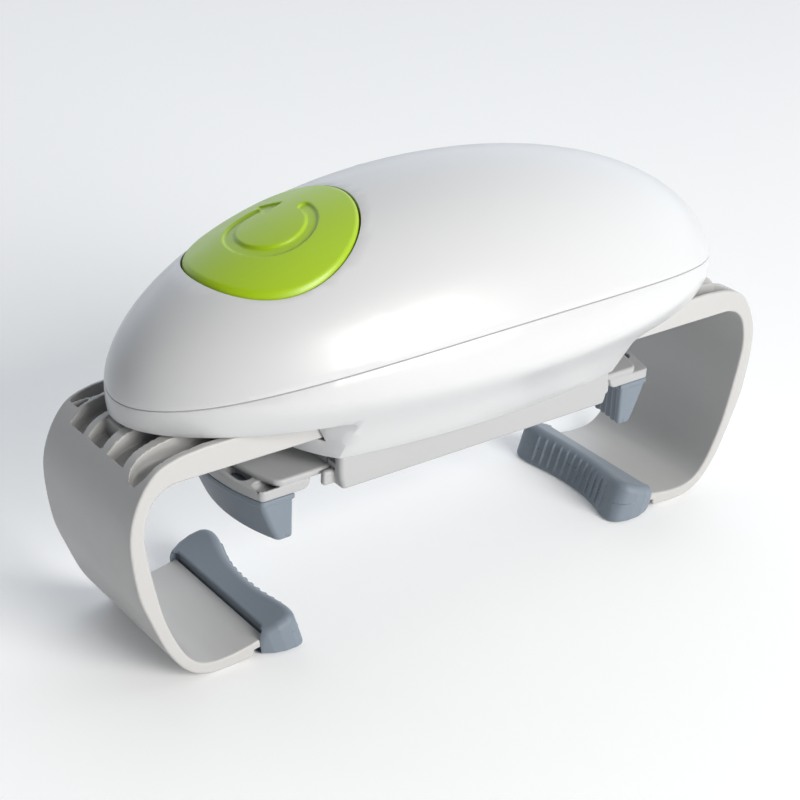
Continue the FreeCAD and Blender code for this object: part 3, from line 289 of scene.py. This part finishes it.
LOOKS = {
    "shell_white": dict(colour=(0.565, 0.57, 0.58), roughness=0.32, grain=2400, bump=0.02,
                        shade=0.008, coat=0.08),
    "button_green": dict(colour=(0.325, 0.495, 0.01), roughness=0.36, grain=2400, bump=0.03,
                         shade=0.03, coat=0.04),
    "arm_grey": dict(colour=(0.46, 0.456, 0.451), roughness=0.42, grain=3200, bump=0.12, shade=0.015),
    "jaw_grey": dict(colour=(0.39, 0.395, 0.40), roughness=0.36, grain=2600, bump=0.08, shade=0.015),
    "grip_rubber": dict(colour=(0.165, 0.2, 0.242), roughness=0.55, grain=3600, bump=0.2, sheen=0.15),
    "inner_grey": dict(colour=(0.22, 0.225, 0.23), roughness=0.5, grain=2200, bump=0.15),
    "gear_nylon": dict(colour=(0.72, 0.69, 0.60), roughness=0.38, grain=2400, bump=0.08),
    "steel": dict(colour=(0.52, 0.52, 0.53), roughness=0.32, grain=4200, bump=0.1,
                  shade=0.05, metallic=1.0),
    "brass": dict(colour=(0.70, 0.48, 0.17), roughness=0.28, grain=4200, bump=0.08,
                  shade=0.05, metallic=1.0),
    "cell_wrap": dict(colour=(0.035, 0.035, 0.045), roughness=0.3, grain=1500, bump=0.03),
    "board_green": dict(colour=(0.02, 0.13, 0.05), roughness=0.35, grain=2600, bump=0.15),
    "switch_black": dict(colour=(0.02, 0.02, 0.02), roughness=0.4, grain=2600, bump=0.15),
}
MATERIALS = {name: plastic(name, **look) for name, look in LOOKS.items()}

# ---------------------------------------------------------------- the solids

SHELLS = ("top_cover", "lower_shell", "battery_door")
EDGE_WIDTH, SHELL_EDGE_WIDTH = 0.35, 0.12
SHARP_ANGLE = math.radians(35)
WELD_REACH = 0.01

slot_of = {row["node"]: row["material_slot"] for row in frame["record"]["subparts"]}
for name, thing in nodes.items():
    thing.data.materials.clear()
    thing.data.materials.append(MATERIALS[slot_of[name]])
    for polygon in thing.data.polygons:
        polygon.use_smooth = True
    weld = thing.modifiers.new("weld", "WELD")
    weld.merge_threshold = WELD_REACH * MM
    bevel = thing.modifiers.new("edge", "BEVEL")
    bevel.width = (SHELL_EDGE_WIDTH if name in SHELLS else EDGE_WIDTH) * MM
    bevel.segments = 2
    bevel.angle_limit = SHARP_ANGLE
    bevel.harden_normals = True

# ---------------------------------------------------------------- arms

ARM_HALF, ARM_REACH = 20.5, 95
PLATE_START = 36.0
PLATE_LOW, PLATE_HIGH = 53.0, 59.8

arm_outline = Outline([
    (PLATE_START, PLATE_HIGH),
    *curve([(76, 59.8), (83.2, 58.9), (89, 56.3), (93.3, 49.5), (94.9, 41), (93.3, 28), (90.2, 19),
            (86, 9.5), (81, 3), (75.6, 0.35), (70, 0)]),
    (63.6, 0.5), (63.4, 2.1), (60.9, 2.4),
    *curve([(60.7, 4.9), (65, 3.9), (70, 3.2), (75, 3.3), (79, 5.0), (82.6, 9.5), (86.5, 18.5),
            (89, 28.2), (90.9, 38), (91.1, 43), (89.9, 48.2), (87.4, 51.4), (84, 52.8), (80, 53)]),
    (PLATE_START, PLATE_LOW)], pitch=0.2)

# pockets in the arm's top: sides across the arm, ends along it, and the radii of the corners and of
# the edge round the floor
POCKETS = (
    ((-19.4, -15.1), (38.0, 87.8), 0.4, 0.4),
    ((-13.9, -7.9), (74.5, 90.5), 0.3, 0.4),
    ((-5.8, 0.6), (74.5, 90.3), 0.3, 0.4),
    ((3.4, 10.0), (38.0, 90.5), 0.3, 0.4),
    ((12.7, 18.5), (38.0, 91.5), 2.85, 2.2),
)
SLANTED_POCKET, CROSSED_POCKET = POCKETS[0], POCKETS[2]
CROSS_RIB, CROSS_RIB_TOP = (84.5, 85.7), 58.0
SLANT, SLANT_START, SLANT_RIB_HALF = math.radians(30), (87.8, -17.4), 0.4
POCKET_FLOOR, FLOOR_BEND, FLOOR_FALL = 54.8, 82.0, 0.046
SLOT_SIDES, SLOT_END, SLOT_LOW = (-14.2, -5.5), 73.0, 49.0


def arm_field(x, y, z):
    """C-shaped arm with pockets in its top and a slot that the other arm's rack runs in."""
    shape = round_both(arm_outline(x, z), np.abs(y) - ARM_HALF, 0.5)
    floor = POCKET_FLOOR - FLOOR_FALL * np.maximum(x - FLOOR_BEND, 0) ** 2
    for pocket in POCKETS:
        sides, ends, corner_radius, floor_radius = pocket
        hollow = round_both(slab(y, *sides), slab(x, *ends), corner_radius)
        hollow = round_both(hollow, floor - z, floor_radius)
        if pocket is CROSSED_POCKET:
            hollow = take_away(hollow, np.maximum(slab(x, *CROSS_RIB), z - CROSS_RIB_TOP), 0.1)
        if pocket is SLANTED_POCKET:
            beside = (x - SLANT_START[0]) * math.sin(SLANT) + (y - SLANT_START[1]) * math.cos(SLANT)
            hollow = take_away(hollow, np.abs(beside) - SLANT_RIB_HALF, 0.1)
        shape = take_away(shape, hollow, 0.15)
    slot = round_both(slab(y, *SLOT_SIDES), x - SLOT_END, 0.8)
    return take_away(shape, np.maximum(slot, SLOT_LOW - z), 0.3)


add_pair("arm", arm_field, low=(PLATE_START, -ARM_HALF, 0), high=(ARM_REACH, ARM_HALF, PLATE_HIGH),
         step=0.45, slot="arm_grey", bodies="arm")

# ---------------------------------------------------------------- jar pads

PAD_HALF = 23.0
PAD_START, PAD_BACK, PAD_HIGH = 44, 62.4, 12.6
LEAN, LEAN_LEVEL = 0.33, 5.0
GRIP_LIMIT = 54.5
RIB_STEP, RIB_COUNT, RIB_HEIGHT = 2.7, 12, 0.45
RIB_LOW, RIB_HIGH, RIB_FADE = 1.4, 9.0, 0.7

# sloping top: its level at one place, its steepness at the middle and how much is added at the ends,
# and what turns a height above it into a distance
TOP_LEVEL, TOP_PLACE = 7.4, 61
TOP_STEEPNESS, TOP_ADDED, TOP_SCALE = 0.37, 0.04, 0.93

# fine line where the mould's halves met, waving along the gripping face
PARTING_LEVEL, PARTING_WAVE, PARTING_LENGTH, PARTING_RADIUS = 5.3, 0.25, 3, 0.13

# step behind the pad's top, and the groove that the arm's end sits in
LIP_START, LIP_LEVEL, LIP_HALF = 60.7, 5, 19.6
ARM_GROOVE = ((60.1, PAD_BACK + 5), (-20.4, 20.4), (0.75, 6.8))

pad_face = curve([(54.0, -PAD_HALF), (50.7, -21.9), (49.1, -19.6), (49.2, -16.4), (50.7, -12),
                  (52.2, -6), (52.8, 1), (52.6, 8), (51.9, 13), (51.4, 17.5), (51.6, 20.4),
                  (52.6, 22.3), (54.4, PAD_HALF)])
pad_outline = Outline([*pad_face, (57.5, PAD_HALF), (60.5, 22.2), (66, 19), (66, -19),
                       (60.5, -22.2), (57.5, -PAD_HALF)])


def pad_field(x, y, z):
    """Rubber pad whose gripping face leans away from the jar toward its top."""
    plan = pad_outline(x - LEAN * (z - LEAN_LEVEL), y)
    toward_jar = x - LEAN * (z - LEAN_LEVEL) - GRIP_LIMIT
    ribs = np.maximum(-np.cos(2 * np.pi * y / RIB_STEP), 0) ** 3
    ribs = ribs * (np.abs(y) < RIB_STEP * RIB_COUNT / 2) * (toward_jar < 0)
    ribs = ribs * ramp(z - RIB_LOW, RIB_FADE) * ramp(RIB_HIGH - z, RIB_FADE)
    steepness = TOP_STEEPNESS + TOP_ADDED * (y / PAD_HALF) ** 2
    top = (z - TOP_LEVEL - steepness * (TOP_PLACE - x)) * TOP_SCALE
    shape = round_both(plan - RIB_HEIGHT * ribs, top, 2.3)
    shape = round_both(shape, x - PAD_BACK, 1.2)
    shape = round_both(shape, -z, 1.3)
    wave = PARTING_WAVE * np.cos(y / PARTING_LENGTH)
    parting = np.hypot(plan, z - PARTING_LEVEL - wave) - PARTING_RADIUS
    shape = np.minimum(shape, np.maximum(parting, toward_jar))
    behind_lip = round_both(LIP_START - x, LIP_LEVEL - z, 0.3)
    behind_lip = round_both(behind_lip, np.abs(y) - LIP_HALF, 0.8)
    shape = take_away(shape, behind_lip, 0.4)
    return take_away(shape, bar(x, y, z, *ARM_GROOVE, 0.3), 0.3)


add_pair("arm_pad", pad_field, low=(PAD_START, -PAD_HALF, 0), high=(PAD_BACK, PAD_HALF, PAD_HIGH),
         step=0.3, slot="grip_rubber", bodies="arm")

# ---------------------------------------------------------------- lid jaws

JAW_HALF = 17.3


def bow(side, middle):
    """Arc across the jaw from its sides to its middle, as a function of y."""
    rise = middle - side
    radius = (JAW_HALF * JAW_HALF + rise * rise) / (2 * rise)
    return lambda y: middle - radius + np.sqrt(np.maximum(radius ** 2 - y * y, 1))


jaw_plate_edge, flange_edge = bow(55.0, 58.8), bow(59.3, 62.6)
JAW_PLATE_START, JAW_PLATE = 36.8, (41.4, 43.2)
FLANGE_START, FLANGE_LOW, FLANGE_HIGH = 46.2, 38.8, 41.5

# hollows between plate and flange: edges across the jaw, edges along it, and the floor's level
SCOOPS = (((12.2, 16.6), (52.6, 59.7), 39.9), ((2.0, 10.0), (56.6, 60.7), 37.0),
          ((-10.0, -2.0), (56.6, 60.7), 37.0))

# blocks that slide in the carrier's tracks, kept from one level up, and the root of the jaw's rack
SHOES = ((37.0, 41.0), (16.2, 19.2), (41.6, 44.6))
SHOES_LOW = 43.0
RACK_ROOT = ((36.9, 41.0), (8.3, 15.8), (42.0, 46.0))


def jaw_field(x, y, z):
    """Bowed plate over a deeper flange, with blocks that slide in the carrier's tracks."""
    plate = round_both(x - jaw_plate_edge(y), np.abs(y) - JAW_HALF, 1.6)
    plate = round_both(round_both(plate, JAW_PLATE_START - x, 0.3), slab(z, *JAW_PLATE), 0.7)
    flange = round_both(x - flange_edge(y), np.abs(y) - JAW_HALF, 0.9)
    flange = round_both(flange, round_both(FLANGE_START - x, FLANGE_LOW - z, 2.2), 0.5)
    flange = round_both(flange, z - FLANGE_HIGH, 0.35)
    for across, along, floor in SCOOPS:
        scoop = round_both(slab(y, *across), slab(x, *along), 2.0)
        flange = take_away(flange, round_both(scoop, floor - z, 0.8), 0.25)
    shape = round_either(plate, flange, 0.1)
    shoes = np.maximum(bar(x, np.abs(y), z, *SHOES, 0.3), SHOES_LOW - z)
    return np.minimum(np.minimum(shape, shoes), bar(x, y, z, *RACK_ROOT, 0.2))


add_pair("jaw", jaw_field, low=(36.5, -19.3, 38.5), high=(62.8, 19.3, 46.2),
         step=0.42, slot="jaw_grey", bodies="jaw")

# ---------------------------------------------------------------- lid pads

lid_face, lid_foot, lid_back = bow(50.2, 52.2), bow(54.6, 58.2), bow(59.3, 62.6)
LID_LOW, LID_HIGH, LID_HALF = 27.0, 38.8, 17.0
FACE_INSET = 0.3
FLUTE_STEP, FLUTE_HEIGHT, FLUTES_HALF = 2.3, 0.28, 15.5
FLUTE_HIGH, FLUTE_FADE = 37.0, 0.8

# how the back swells upward, and what turns a reach behind it into a distance
SWELL, BACK_SCALE = 1.25, 0.94

# band round the pad's top, and fine lines down its sides where the mould's halves met
BAND_HALF, BAND = 17.25, (37.3, 38.75)
SIDE_LINE_X, SIDE_LINE_RADIUS, SIDE_LINE = 52.4, 0.18, (28, 37.5)
JAW_UNDERSIDE = 38.78


def lid_pad_field(x, y, z):
    """Fluted rubber pad that hangs under a lid jaw."""
    share = ramp(z - LID_LOW, LID_HIGH - LID_LOW)
    back = lid_foot(y) + (lid_back(y) - lid_foot(y)) * (1 - (1 - share) ** SWELL)
    flutes = FLUTE_HEIGHT * np.cos(2 * np.pi * y / FLUTE_STEP)
    flutes = flutes * (np.abs(y) < FLUTES_HALF) * ramp(FLUTE_HIGH - z, FLUTE_FADE)
    face = (lid_face(y) + FACE_INSET - flutes) - x
    plan = round_both(face, np.abs(y) - LID_HALF, 1.0)
    plan = round_both(plan, (x - back) * BACK_SCALE, 1.0)
    shape = round_both(plan, slab(z, LID_LOW, LID_HIGH), 0.8)
    band = round_both(lid_face(y) - x, x - lid_back(y), 0.6)
    band = round_both(band, np.abs(y) - BAND_HALF, 0.6)
    band = round_both(band, slab(z, *BAND), 0.35)
    shape = round_either(shape, band, 0.2)
    line = np.hypot(np.abs(y) - LID_HALF, x - SIDE_LINE_X) - SIDE_LINE_RADIUS
    shape = np.minimum(shape, np.maximum(line, slab(z, *SIDE_LINE)))
    return np.maximum(shape, z - JAW_UNDERSIDE)


add_pair("jaw_pad", lid_pad_field, low=(49.5, -17.5, 26.9), high=(62.7, 17.5, 38.8),
         step=0.42, slot="grip_rubber", bodies="jaw")

# ---------------------------------------------------------------- lid carrier

CARRIER_END, CARRIER_HALF, CARRIER_LEVELS = 41.3, 22.0, (38.6, 47.2)
UNDERCUT, UNDERCUT_HIGH, UNDERCUT_HEIGHT = 0.9, 44, 5
CHANNEL_HALF, CHANNEL_HIGH = 17.6, 46.2
TRACK_HALF, TRACK_LEVELS = 19.4, (43.0, 46.2)
LIP = ((37, 44.0), (17.6, 19.4), (39.3, 43.0))
BOSS_RADIUS, BOSS_LEVELS = 17.0, (46.6, 50.0)
BORE_RADIUS, BORE_LEVELS = 5.05, (46.1, 51)


def carrier_field(x, y, z):
    """Turntable channel with the tracks that both lid jaws slide in."""
    end = CARRIER_END - UNDERCUT * ramp(UNDERCUT_HIGH - z, UNDERCUT_HEIGHT) ** 2
    shape = round_both(np.abs(x) - end, np.abs(y) - CARRIER_HALF, 1.2)
    shape = round_both(shape, slab(z, *CARRIER_LEVELS), 0.6)
    channel = round_both(np.abs(y) - CHANNEL_HALF, z - CHANNEL_HIGH, 0.3)
    track = round_both(np.abs(y) - TRACK_HALF, slab(z, *TRACK_LEVELS), 0.2)
    shape = take_away(shape, channel, 0.3)
    shape = take_away(shape, track, 0.2)
    shape = np.minimum(shape, bar(np.abs(x), np.abs(y), z, *LIP, 0.7))
    radius = np.hypot(x, y)
    boss = round_both(radius - BOSS_RADIUS, slab(z, *BOSS_LEVELS), 0.3)
    shape = round_either(shape, boss, 0.2)
    return take_away(shape, np.maximum(radius - BORE_RADIUS, slab(z, *BORE_LEVELS)), 0.2)


carrier_skin = surface(carrier_field, low=(-44, -22, 38.6), high=(44, 22, 50), step=0.5)
add_piece("lid_carrier_form", carrier_skin, "lid_carrier", "jaw_grey", "lid_carrier")

# ---------------------------------------------------------------- button

EGG = np.array((86.9, 40.3, 41.1))
EGG_LEVEL = 62.8
BUTTON_X, BUTTON_RADIUS = -46.3, 19.7

# levels of the button above the housing's ellipsoid: its top, the top's underside and its lower rim
BUTTON_TOP, BUTTON_INSIDE, BUTTON_RIM = 0.5, -1.6, -6.0
HOLLOW_RADIUS = 17.7
CORE_RADIUS, CORE_LOW = 6.6, 93.6
STEM_RADIUS, STEM_LOW = 2.5, 89.7

ARROW_RADIUS, ARROW_STROKE, ARROW_DEPTH = 9.2, 2.5, 0.6
ARROW_END_RADIUS = ARROW_STROKE / 2.1  # a little less than half round
GAP_MIDDLE, GAP_HALF = math.radians(40), math.radians(30)
HEAD_LENGTH, HEAD_HALF = 4.6, 3.3


def egg(x, y, z, grow):
    """Distance from the housing's ellipsoid after growing it, close to its surface."""
    a, b, c = EGG + grow
    height = z - EGG_LEVEL
    level = np.sqrt((x / a) ** 2 + (y / b) ** 2 + (height / c) ** 2)
    pull = np.sqrt((x / a ** 2) ** 2 + (y / b ** 2) ** 2 + (height / c ** 2) ** 2)
    return level * (level - 1) / np.maximum(pull, 1e-6)


def turn_arrow(x, y):
    """Plan distance from a round arrow, the common sign for turning."""
    u, v = x - BUTTON_X, y
    ring = np.abs(np.hypot(u, v) - ARROW_RADIUS) - ARROW_STROKE / 2
    gap = np.cos(np.arctan2(v, u) - GAP_MIDDLE) - math.cos(GAP_HALF)
    gap = gap * ARROW_RADIUS / math.sin(GAP_HALF)
    ring = round_both(ring, gap, ARROW_END_RADIUS)
    end = GAP_MIDDLE + GAP_HALF
    out = (u * math.cos(end) + v * math.sin(end)) - ARROW_RADIUS
    ahead = u * math.sin(end) - v * math.cos(end)
    sides = np.abs(out) - HEAD_HALF * (1 - ahead / HEAD_LENGTH)
    sides = sides * HEAD_LENGTH / math.hypot(HEAD_LENGTH, HEAD_HALF)
    head = round_both(-ahead, sides, 0.5)
    return round_either(ring, head, 0.4)


def button_field(x, y, z):
    """Button that goes on with the housing's curve, hollow below, with an arrow in its top."""
    radius = np.hypot(x - BUTTON_X, y)
    skin = egg(x, y, z, BUTTON_TOP)
    shape = round_both(skin, radius - BUTTON_RADIUS, 1.1)
    shape = np.maximum(shape, -egg(x, y, z, BUTTON_RIM))
    shape = take_away(shape, np.maximum(egg(x, y, z, BUTTON_INSIDE), radius - HOLLOW_RADIUS), 0.3)
    core = np.maximum(np.maximum(radius - CORE_RADIUS, CORE_LOW - z), skin)
    stem = np.maximum(np.maximum(radius - STEM_RADIUS, STEM_LOW - z), skin)
    shape = np.minimum(np.minimum(shape, core), stem)
    groove = round_both(turn_arrow(x, y), -ARROW_DEPTH - skin, 0.5)
    return take_away(shape, groove, 0.45)


button_skin = surface(button_field, low=(-66.5, -20, 77), high=(-26, 20, 104), step=0.42)
add_piece("button_form", button_skin, "button", "button_green", "button")

# ---------------------------------------------------------------- spring under the button

SPRING_LOW, SPRING_HIGH = 88.6, CORE_LOW
SPRING_RADIUS, SPRING_WIRE, SPRING_TURNS = 5.4, 0.35, 4
WIRE_SIDES, TURN_STEPS = 10, 48


def spring_skin():
    """Points, faces and normals of a round wire wound into a spring."""
    points, normals, faces = [], [], []
    rise = SPRING_HIGH - SPRING_LOW - 2 * SPRING_WIRE
    for n in range(SPRING_TURNS * TURN_STEPS + 1):
        turn = 2 * math.pi * n / TURN_STEPS
        level = SPRING_LOW + SPRING_WIRE + rise * n / (SPRING_TURNS * TURN_STEPS)
        for k in range(WIRE_SIDES):
            angle = 2 * math.pi * k / WIRE_SIDES
            out, up = math.cos(angle), math.sin(angle)
            reach = SPRING_RADIUS + SPRING_WIRE * out
            points.append((BUTTON_X + reach * math.cos(turn), reach * math.sin(turn),
                           level + SPRING_WIRE * up))
            normals.append((out * math.cos(turn), out * math.sin(turn), up))
            if n:
                here, before = n * WIRE_SIDES, (n - 1) * WIRE_SIDES
                after = (k + 1) % WIRE_SIDES
                faces.append((before + k, here + k, here + after, before + after))
    last = len(points) - WIRE_SIDES
    for k in range(WIRE_SIDES // 2 - 1):
        cap = (k, k + 1, WIRE_SIDES - 2 - k, WIRE_SIDES - 1 - k)
        faces.append(cap)
        faces.append(tuple(last + corner for corner in reversed(cap)))
    return np.array(points), np.array(faces), np.array(normals)


button_spring = add_piece("button_spring_form", spring_skin(), "housing", "steel", "button_spring")
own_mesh(button_spring)

# ---------------------------------------------------------------- floor

FLOOR_HALF = 4
FLOOR_GLOW = 0.1

corners = [(FLOOR_HALF * x, FLOOR_HALF * y, 0) for x, y in ((-1, -1), (1, -1), (1, 1), (-1, 1))]
floor_mesh = bpy.data.meshes.new("floor")
floor_mesh.from_pydata(corners, [], [(0, 1, 2, 3)])
floor = new_object("floor", floor_mesh)
floor_white = plastic("floor_white", colour=(0.88, 0.885, 0.89), roughness=0.7, grain=300, bump=0.02,
                      shade=0.0)
floor_shader = floor_white.node_tree.nodes["Principled BSDF"]
floor_shader.inputs["Emission Color"].default_value = (1, 1, 1, 1)
floor_shader.inputs["Emission Strength"].default_value = FLOOR_GLOW
floor.data.materials.append(floor_white)

# ---------------------------------------------------------------- light

SHADE_COLOUR = (0.01, 0.011, 0.013, 1)

# glows on the right, behind and above: the colour, the direction, and the cosines between which a
# glow grows to its full strength
GLOWS = (
    ((0.4, 0.4, 0.39, 1), (1, 0, 0), (-0.2, 0.8)),
    ((1.24, 1.33, 1.44, 1), (0.6, 0.78, 0.1), (-0.1, 0.8)),
    ((0.8, 0.8, 0.8, 1), (0.3, 0.15, 0.94), (0.7, 1.0)),
)

KEY_DIRECTION, KEY_DISTANCE = Vector((0.15, -0.9, 0.45)).normalized(), 1.6
KEY_TARGET = Vector((0, 0, 0.05))
KEY_SIZE, KEY_POWER, KEY_COLOUR = 0.9, 30, (1.0, 0.985, 0.955)


def studio_world():
    """Dark surroundings with wide soft glows."""
    world = bpy.data.worlds.new("studio")
    world.use_nodes = True
    tree = world.node_tree
    place = tree.nodes.new("ShaderNodeTexCoord")
    behind = None
    for colour, direction, reach in GLOWS:
        toward = tree.nodes.new("ShaderNodeVectorMath")
        toward.operation = "DOT_PRODUCT"
        toward.inputs[1].default_value = direction
        band = tree.nodes.new("ShaderNodeMapRange")
        band.interpolation_type = "SMOOTHSTEP"
        band.inputs["From Min"].default_value, band.inputs["From Max"].default_value = reach
        mix = tree.nodes.new("ShaderNodeMix")
        mix.data_type = "RGBA"
        mix.inputs["A"].default_value = SHADE_COLOUR
        mix.inputs["B"].default_value = colour
        if behind:
            tree.links.new(behind.outputs["Result"], mix.inputs["A"])
        tree.links.new(place.outputs["Generated"], toward.inputs[0])
        tree.links.new(toward.outputs["Value"], band.inputs["Value"])
        tree.links.new(band.outputs["Result"], mix.inputs["Factor"])
        behind = mix
    tree.links.new(behind.outputs["Result"], tree.nodes["Background"].inputs["Color"])
    return world


bpy.context.scene.world = studio_world()

key_light = bpy.data.lights.new("key", "AREA")
key_light.shape = "SQUARE"
key_light.size = KEY_SIZE
key_light.energy = KEY_POWER
key_light.color = KEY_COLOUR
key = new_object("key", key_light)
key.location = KEY_DIRECTION * KEY_DISTANCE
key.rotation_euler = (KEY_TARGET - key.location).to_track_quat("-Z", "Y").to_euler()

# ---------------------------------------------------------------- camera

CAMERA_RIGHT = Vector((0.80419, -0.5933, 0.03579))
CAMERA_UP = Vector((0.24706, 0.38843, 0.88774))
CAMERA_BACK = Vector((-0.5406, -0.70506, 0.45895))
CAMERA_PLACE = Vector((-256.3, -323.7, 254.1))
LENS, SENSOR_WIDTH = 83.86, 36

camera = new_object("camera", bpy.data.cameras.new("camera"))
camera.data.lens = LENS
camera.data.sensor_width = SENSOR_WIDTH
camera.matrix_world = Matrix((CAMERA_RIGHT, CAMERA_UP, CAMERA_BACK)).transposed().to_4x4()
camera.location = CAMERA_PLACE * MM
bpy.context.scene.camera = camera
bpy.context.scene.view_settings.view_transform = "Standard"
